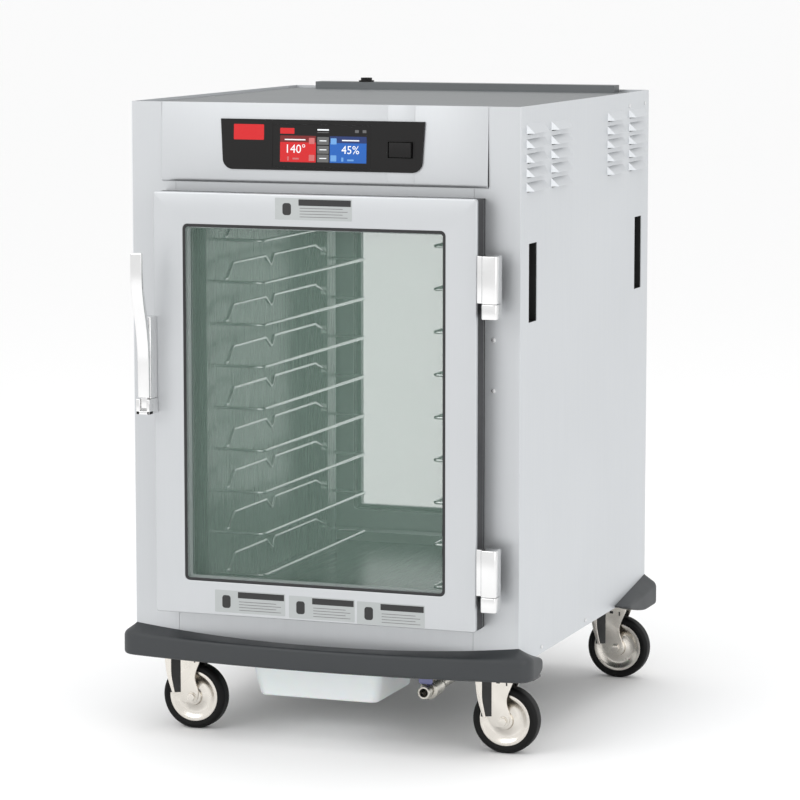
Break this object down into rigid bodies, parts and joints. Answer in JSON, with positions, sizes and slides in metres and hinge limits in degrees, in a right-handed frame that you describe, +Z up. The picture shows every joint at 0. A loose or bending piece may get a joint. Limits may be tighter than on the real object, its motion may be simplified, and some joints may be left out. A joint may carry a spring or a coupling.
{
  "type": "food holding cabinet",
  "caption": "Insulated food holding cabinet on swivel casters with a glazed door at each end, wire pan slides, bumpers, touch controls, water reservoir and drain.",
  "frame": {"origin": "middle of the overall footprint, on the floor under the tyres", "axes": "+Z up; the door with the controls above it faces -Y; its hinges are on the +X side"},
  "size_m": [0.776, 1.023, 1.154],
  "materials": {
    "brushed_sheet": "satin, fine brushed",
    "liner_steel": "satin",
    "slide_wire": "bright plated wire",
    "cast_hardware": "polished plate",
    "caster_steel": "zinc plated",
    "bumper_polymer": "fine satin grain",
    "seal_rubber": "matte",
    "door_polymer": "matte",
    "black_trim": "semi-gloss",
    "display": "glossy lit screen",
    "cup_plastic": "matte",
    "tempered_glass": "clear with a faint green tint",
    "tyre_rubber": "matte",
    "pan_plastic": "translucent white",
    "valve_brass": "nickel-plated brass",
    "lever_vinyl": "dipped vinyl",
    "board_green": "lacquered",
    "motor_paint": "semi-gloss",
    "cast_aluminium": "as formed",
    "batt_fibre": "fibrous",
    "heater_sheath": "heat-tinted"
  },
  "bodies": {
    "cabinet": {"side_panel_right": "brushed_sheet", "side_panel_left": "brushed_sheet", "top_panel": "brushed_sheet", "front_frame": "brushed_sheet", "rear_frame": "brushed_sheet", "header_covers": "brushed_sheet", "liner_walls": "liner_steel", "liner_floor": "liner_steel", "liner_ceiling": "liner_steel", "insulation": "batt_fibre", "slide_uprights": "liner_steel", "pan_slides": "slide_wire", "grip_cups": "cup_plastic", "hinge_feet_and_strikes": "cast_hardware", "control_bezel": "black_trim", "touch_display": "display", "control_electronics": "board_green", "air_duct": "liner_steel", "blower_motor": "motor_paint", "water_reservoir": "liner_steel", "reservoir_cover": "liner_steel", "heating_elements": "heater_sheath", "base_pan": "liner_steel", "front_bumper": "bumper_polymer", "rear_bumper": "bumper_polymer", "caster_plates": "caster_steel", "pan_rails": "liner_steel", "valve_body": "valve_brass", "cord_gland": "black_trim", "screws": "cast_hardware"},
    "front_door": {"front_door_frame": "brushed_sheet", "front_door_core": "door_polymer", "front_door_glass": "tempered_glass", "front_door_gasket": "seal_rubber", "front_door_hardware": "cast_hardware"},
    "front_handle": {"front_door_lever": "cast_hardware"},
    "rear_door": {"rear_door_frame": "brushed_sheet", "rear_door_core": "door_polymer", "rear_door_glass": "tempered_glass", "rear_door_gasket": "seal_rubber", "rear_door_hardware": "cast_hardware"},
    "rear_handle": {"rear_door_lever": "cast_hardware"},
    "switch": {"power_rocker": "black_trim"},
    "blower_wheel": {"impeller": "cast_aluminium"},
    "drip_tray": {"drip_pan": "pan_plastic"},
    "drain_handle": {"valve_lever": "lever_vinyl"},
    "swivel_front_left": {"fork_front_left": "caster_steel"},
    "roller_front_left": {"wheel_front_left": "caster_steel", "tyre_front_left": "tyre_rubber"},
    "pedal_front_left": {"brake_front_left": "motor_paint"},
    "swivel_front_right": {"fork_front_right": "caster_steel"},
    "roller_front_right": {"wheel_front_right": "caster_steel", "tyre_front_right": "tyre_rubber"},
    "pedal_front_right": {"brake_front_right": "motor_paint"},
    "swivel_rear_left": {"fork_rear_left": "caster_steel"},
    "roller_rear_left": {"wheel_rear_left": "caster_steel", "tyre_rear_left": "tyre_rubber"},
    "swivel_rear_right": {"fork_rear_right": "caster_steel"},
    "roller_rear_right": {"wheel_rear_right": "caster_steel", "tyre_rear_right": "tyre_rubber"}
  },
  "joints": [
    {"name": "front_door_hinge", "type": "hinge", "parent": "cabinet", "child": "front_door", "pos_m": [0.327, -0.4405, 0.5], "axis": [0, 0, 1], "range_deg": [0, 180]},
    {"name": "front_handle_pull", "type": "hinge", "parent": "front_door", "child": "front_handle", "pos_m": [-0.305, -0.4775, 0.606], "axis": [1, 0, 0], "range_deg": [0, 15], "stiffness_Nm_per_rad": 1.5, "springref_deg": -17.19},
    {"name": "rear_door_hinge", "type": "hinge", "parent": "cabinet", "child": "rear_door", "pos_m": [-0.327, 0.4405, 0.5], "axis": [0, 0, 1], "range_deg": [0, 180]},
    {"name": "rear_handle_pull", "type": "hinge", "parent": "rear_door", "child": "rear_handle", "pos_m": [0.305, 0.4775, 0.606], "axis": [-1, 0, 0], "range_deg": [0, 15], "stiffness_Nm_per_rad": 1.5, "springref_deg": -17.19},
    {"name": "power_switch", "type": "hinge", "parent": "cabinet", "child": "switch", "pos_m": [0.146, -0.394, 1.06], "axis": [0, 0, 1], "range_deg": [0, 10]},
    {"name": "blower_spin", "type": "hinge", "parent": "cabinet", "child": "blower_wheel", "pos_m": [0, 0.04, 1], "axis": [0, 0, 1], "continuous": true},
    {"name": "drip_tray_slide", "type": "slide", "parent": "cabinet", "child": "drip_tray", "axis": [0, -1, 0], "range_m": [0, 0.2]},
    {"name": "drain_turn", "type": "hinge", "parent": "cabinet", "child": "drain_handle", "pos_m": [0.18, -0.326, 0.103], "axis": [0, 0, 1], "range_deg": [-90, 0]},
    {"name": "swivel_front_left_turn", "type": "hinge", "parent": "cabinet", "child": "swivel_front_left", "pos_m": [-0.297, -0.3355, 0.155], "axis": [0, 0, 1], "continuous": true},
    {"name": "roller_front_left_spin", "type": "hinge", "parent": "swivel_front_left", "child": "roller_front_left", "pos_m": [-0.271, -0.3355, 0.06], "axis": [0, 1, 0], "continuous": true},
    {"name": "pedal_front_left_press", "type": "hinge", "parent": "swivel_front_left", "child": "pedal_front_left", "pos_m": [-0.259, -0.3355, 0.1346], "axis": [0, 1, 0], "range_deg": [0, 15]},
    {"name": "swivel_front_right_turn", "type": "hinge", "parent": "cabinet", "child": "swivel_front_right", "pos_m": [0.297, -0.3355, 0.155], "axis": [0, 0, 1], "continuous": true},
    {"name": "roller_front_right_spin", "type": "hinge", "parent": "swivel_front_right", "child": "roller_front_right", "pos_m": [0.323, -0.3355, 0.06], "axis": [0, 1, 0], "continuous": true},
    {"name": "pedal_front_right_press", "type": "hinge", "parent": "swivel_front_right", "child": "pedal_front_right", "pos_m": [0.335, -0.3355, 0.1346], "axis": [0, 1, 0], "range_deg": [0, 15]},
    {"name": "swivel_rear_left_turn", "type": "hinge", "parent": "cabinet", "child": "swivel_rear_left", "pos_m": [-0.297, 0.3585, 0.155], "axis": [0, 0, 1], "continuous": true},
    {"name": "roller_rear_left_spin", "type": "hinge", "parent": "swivel_rear_left", "child": "roller_rear_left", "pos_m": [-0.271, 0.3585, 0.06], "axis": [0, 1, 0], "continuous": true},
    {"name": "swivel_rear_right_turn", "type": "hinge", "parent": "cabinet", "child": "swivel_rear_right", "pos_m": [0.297, 0.3585, 0.155], "axis": [0, 0, 1], "continuous": true},
    {"name": "roller_rear_right_spin", "type": "hinge", "parent": "swivel_rear_right", "child": "roller_rear_right", "pos_m": [0.323, 0.3585, 0.06], "axis": [0, 1, 0], "continuous": true}
  ]
}
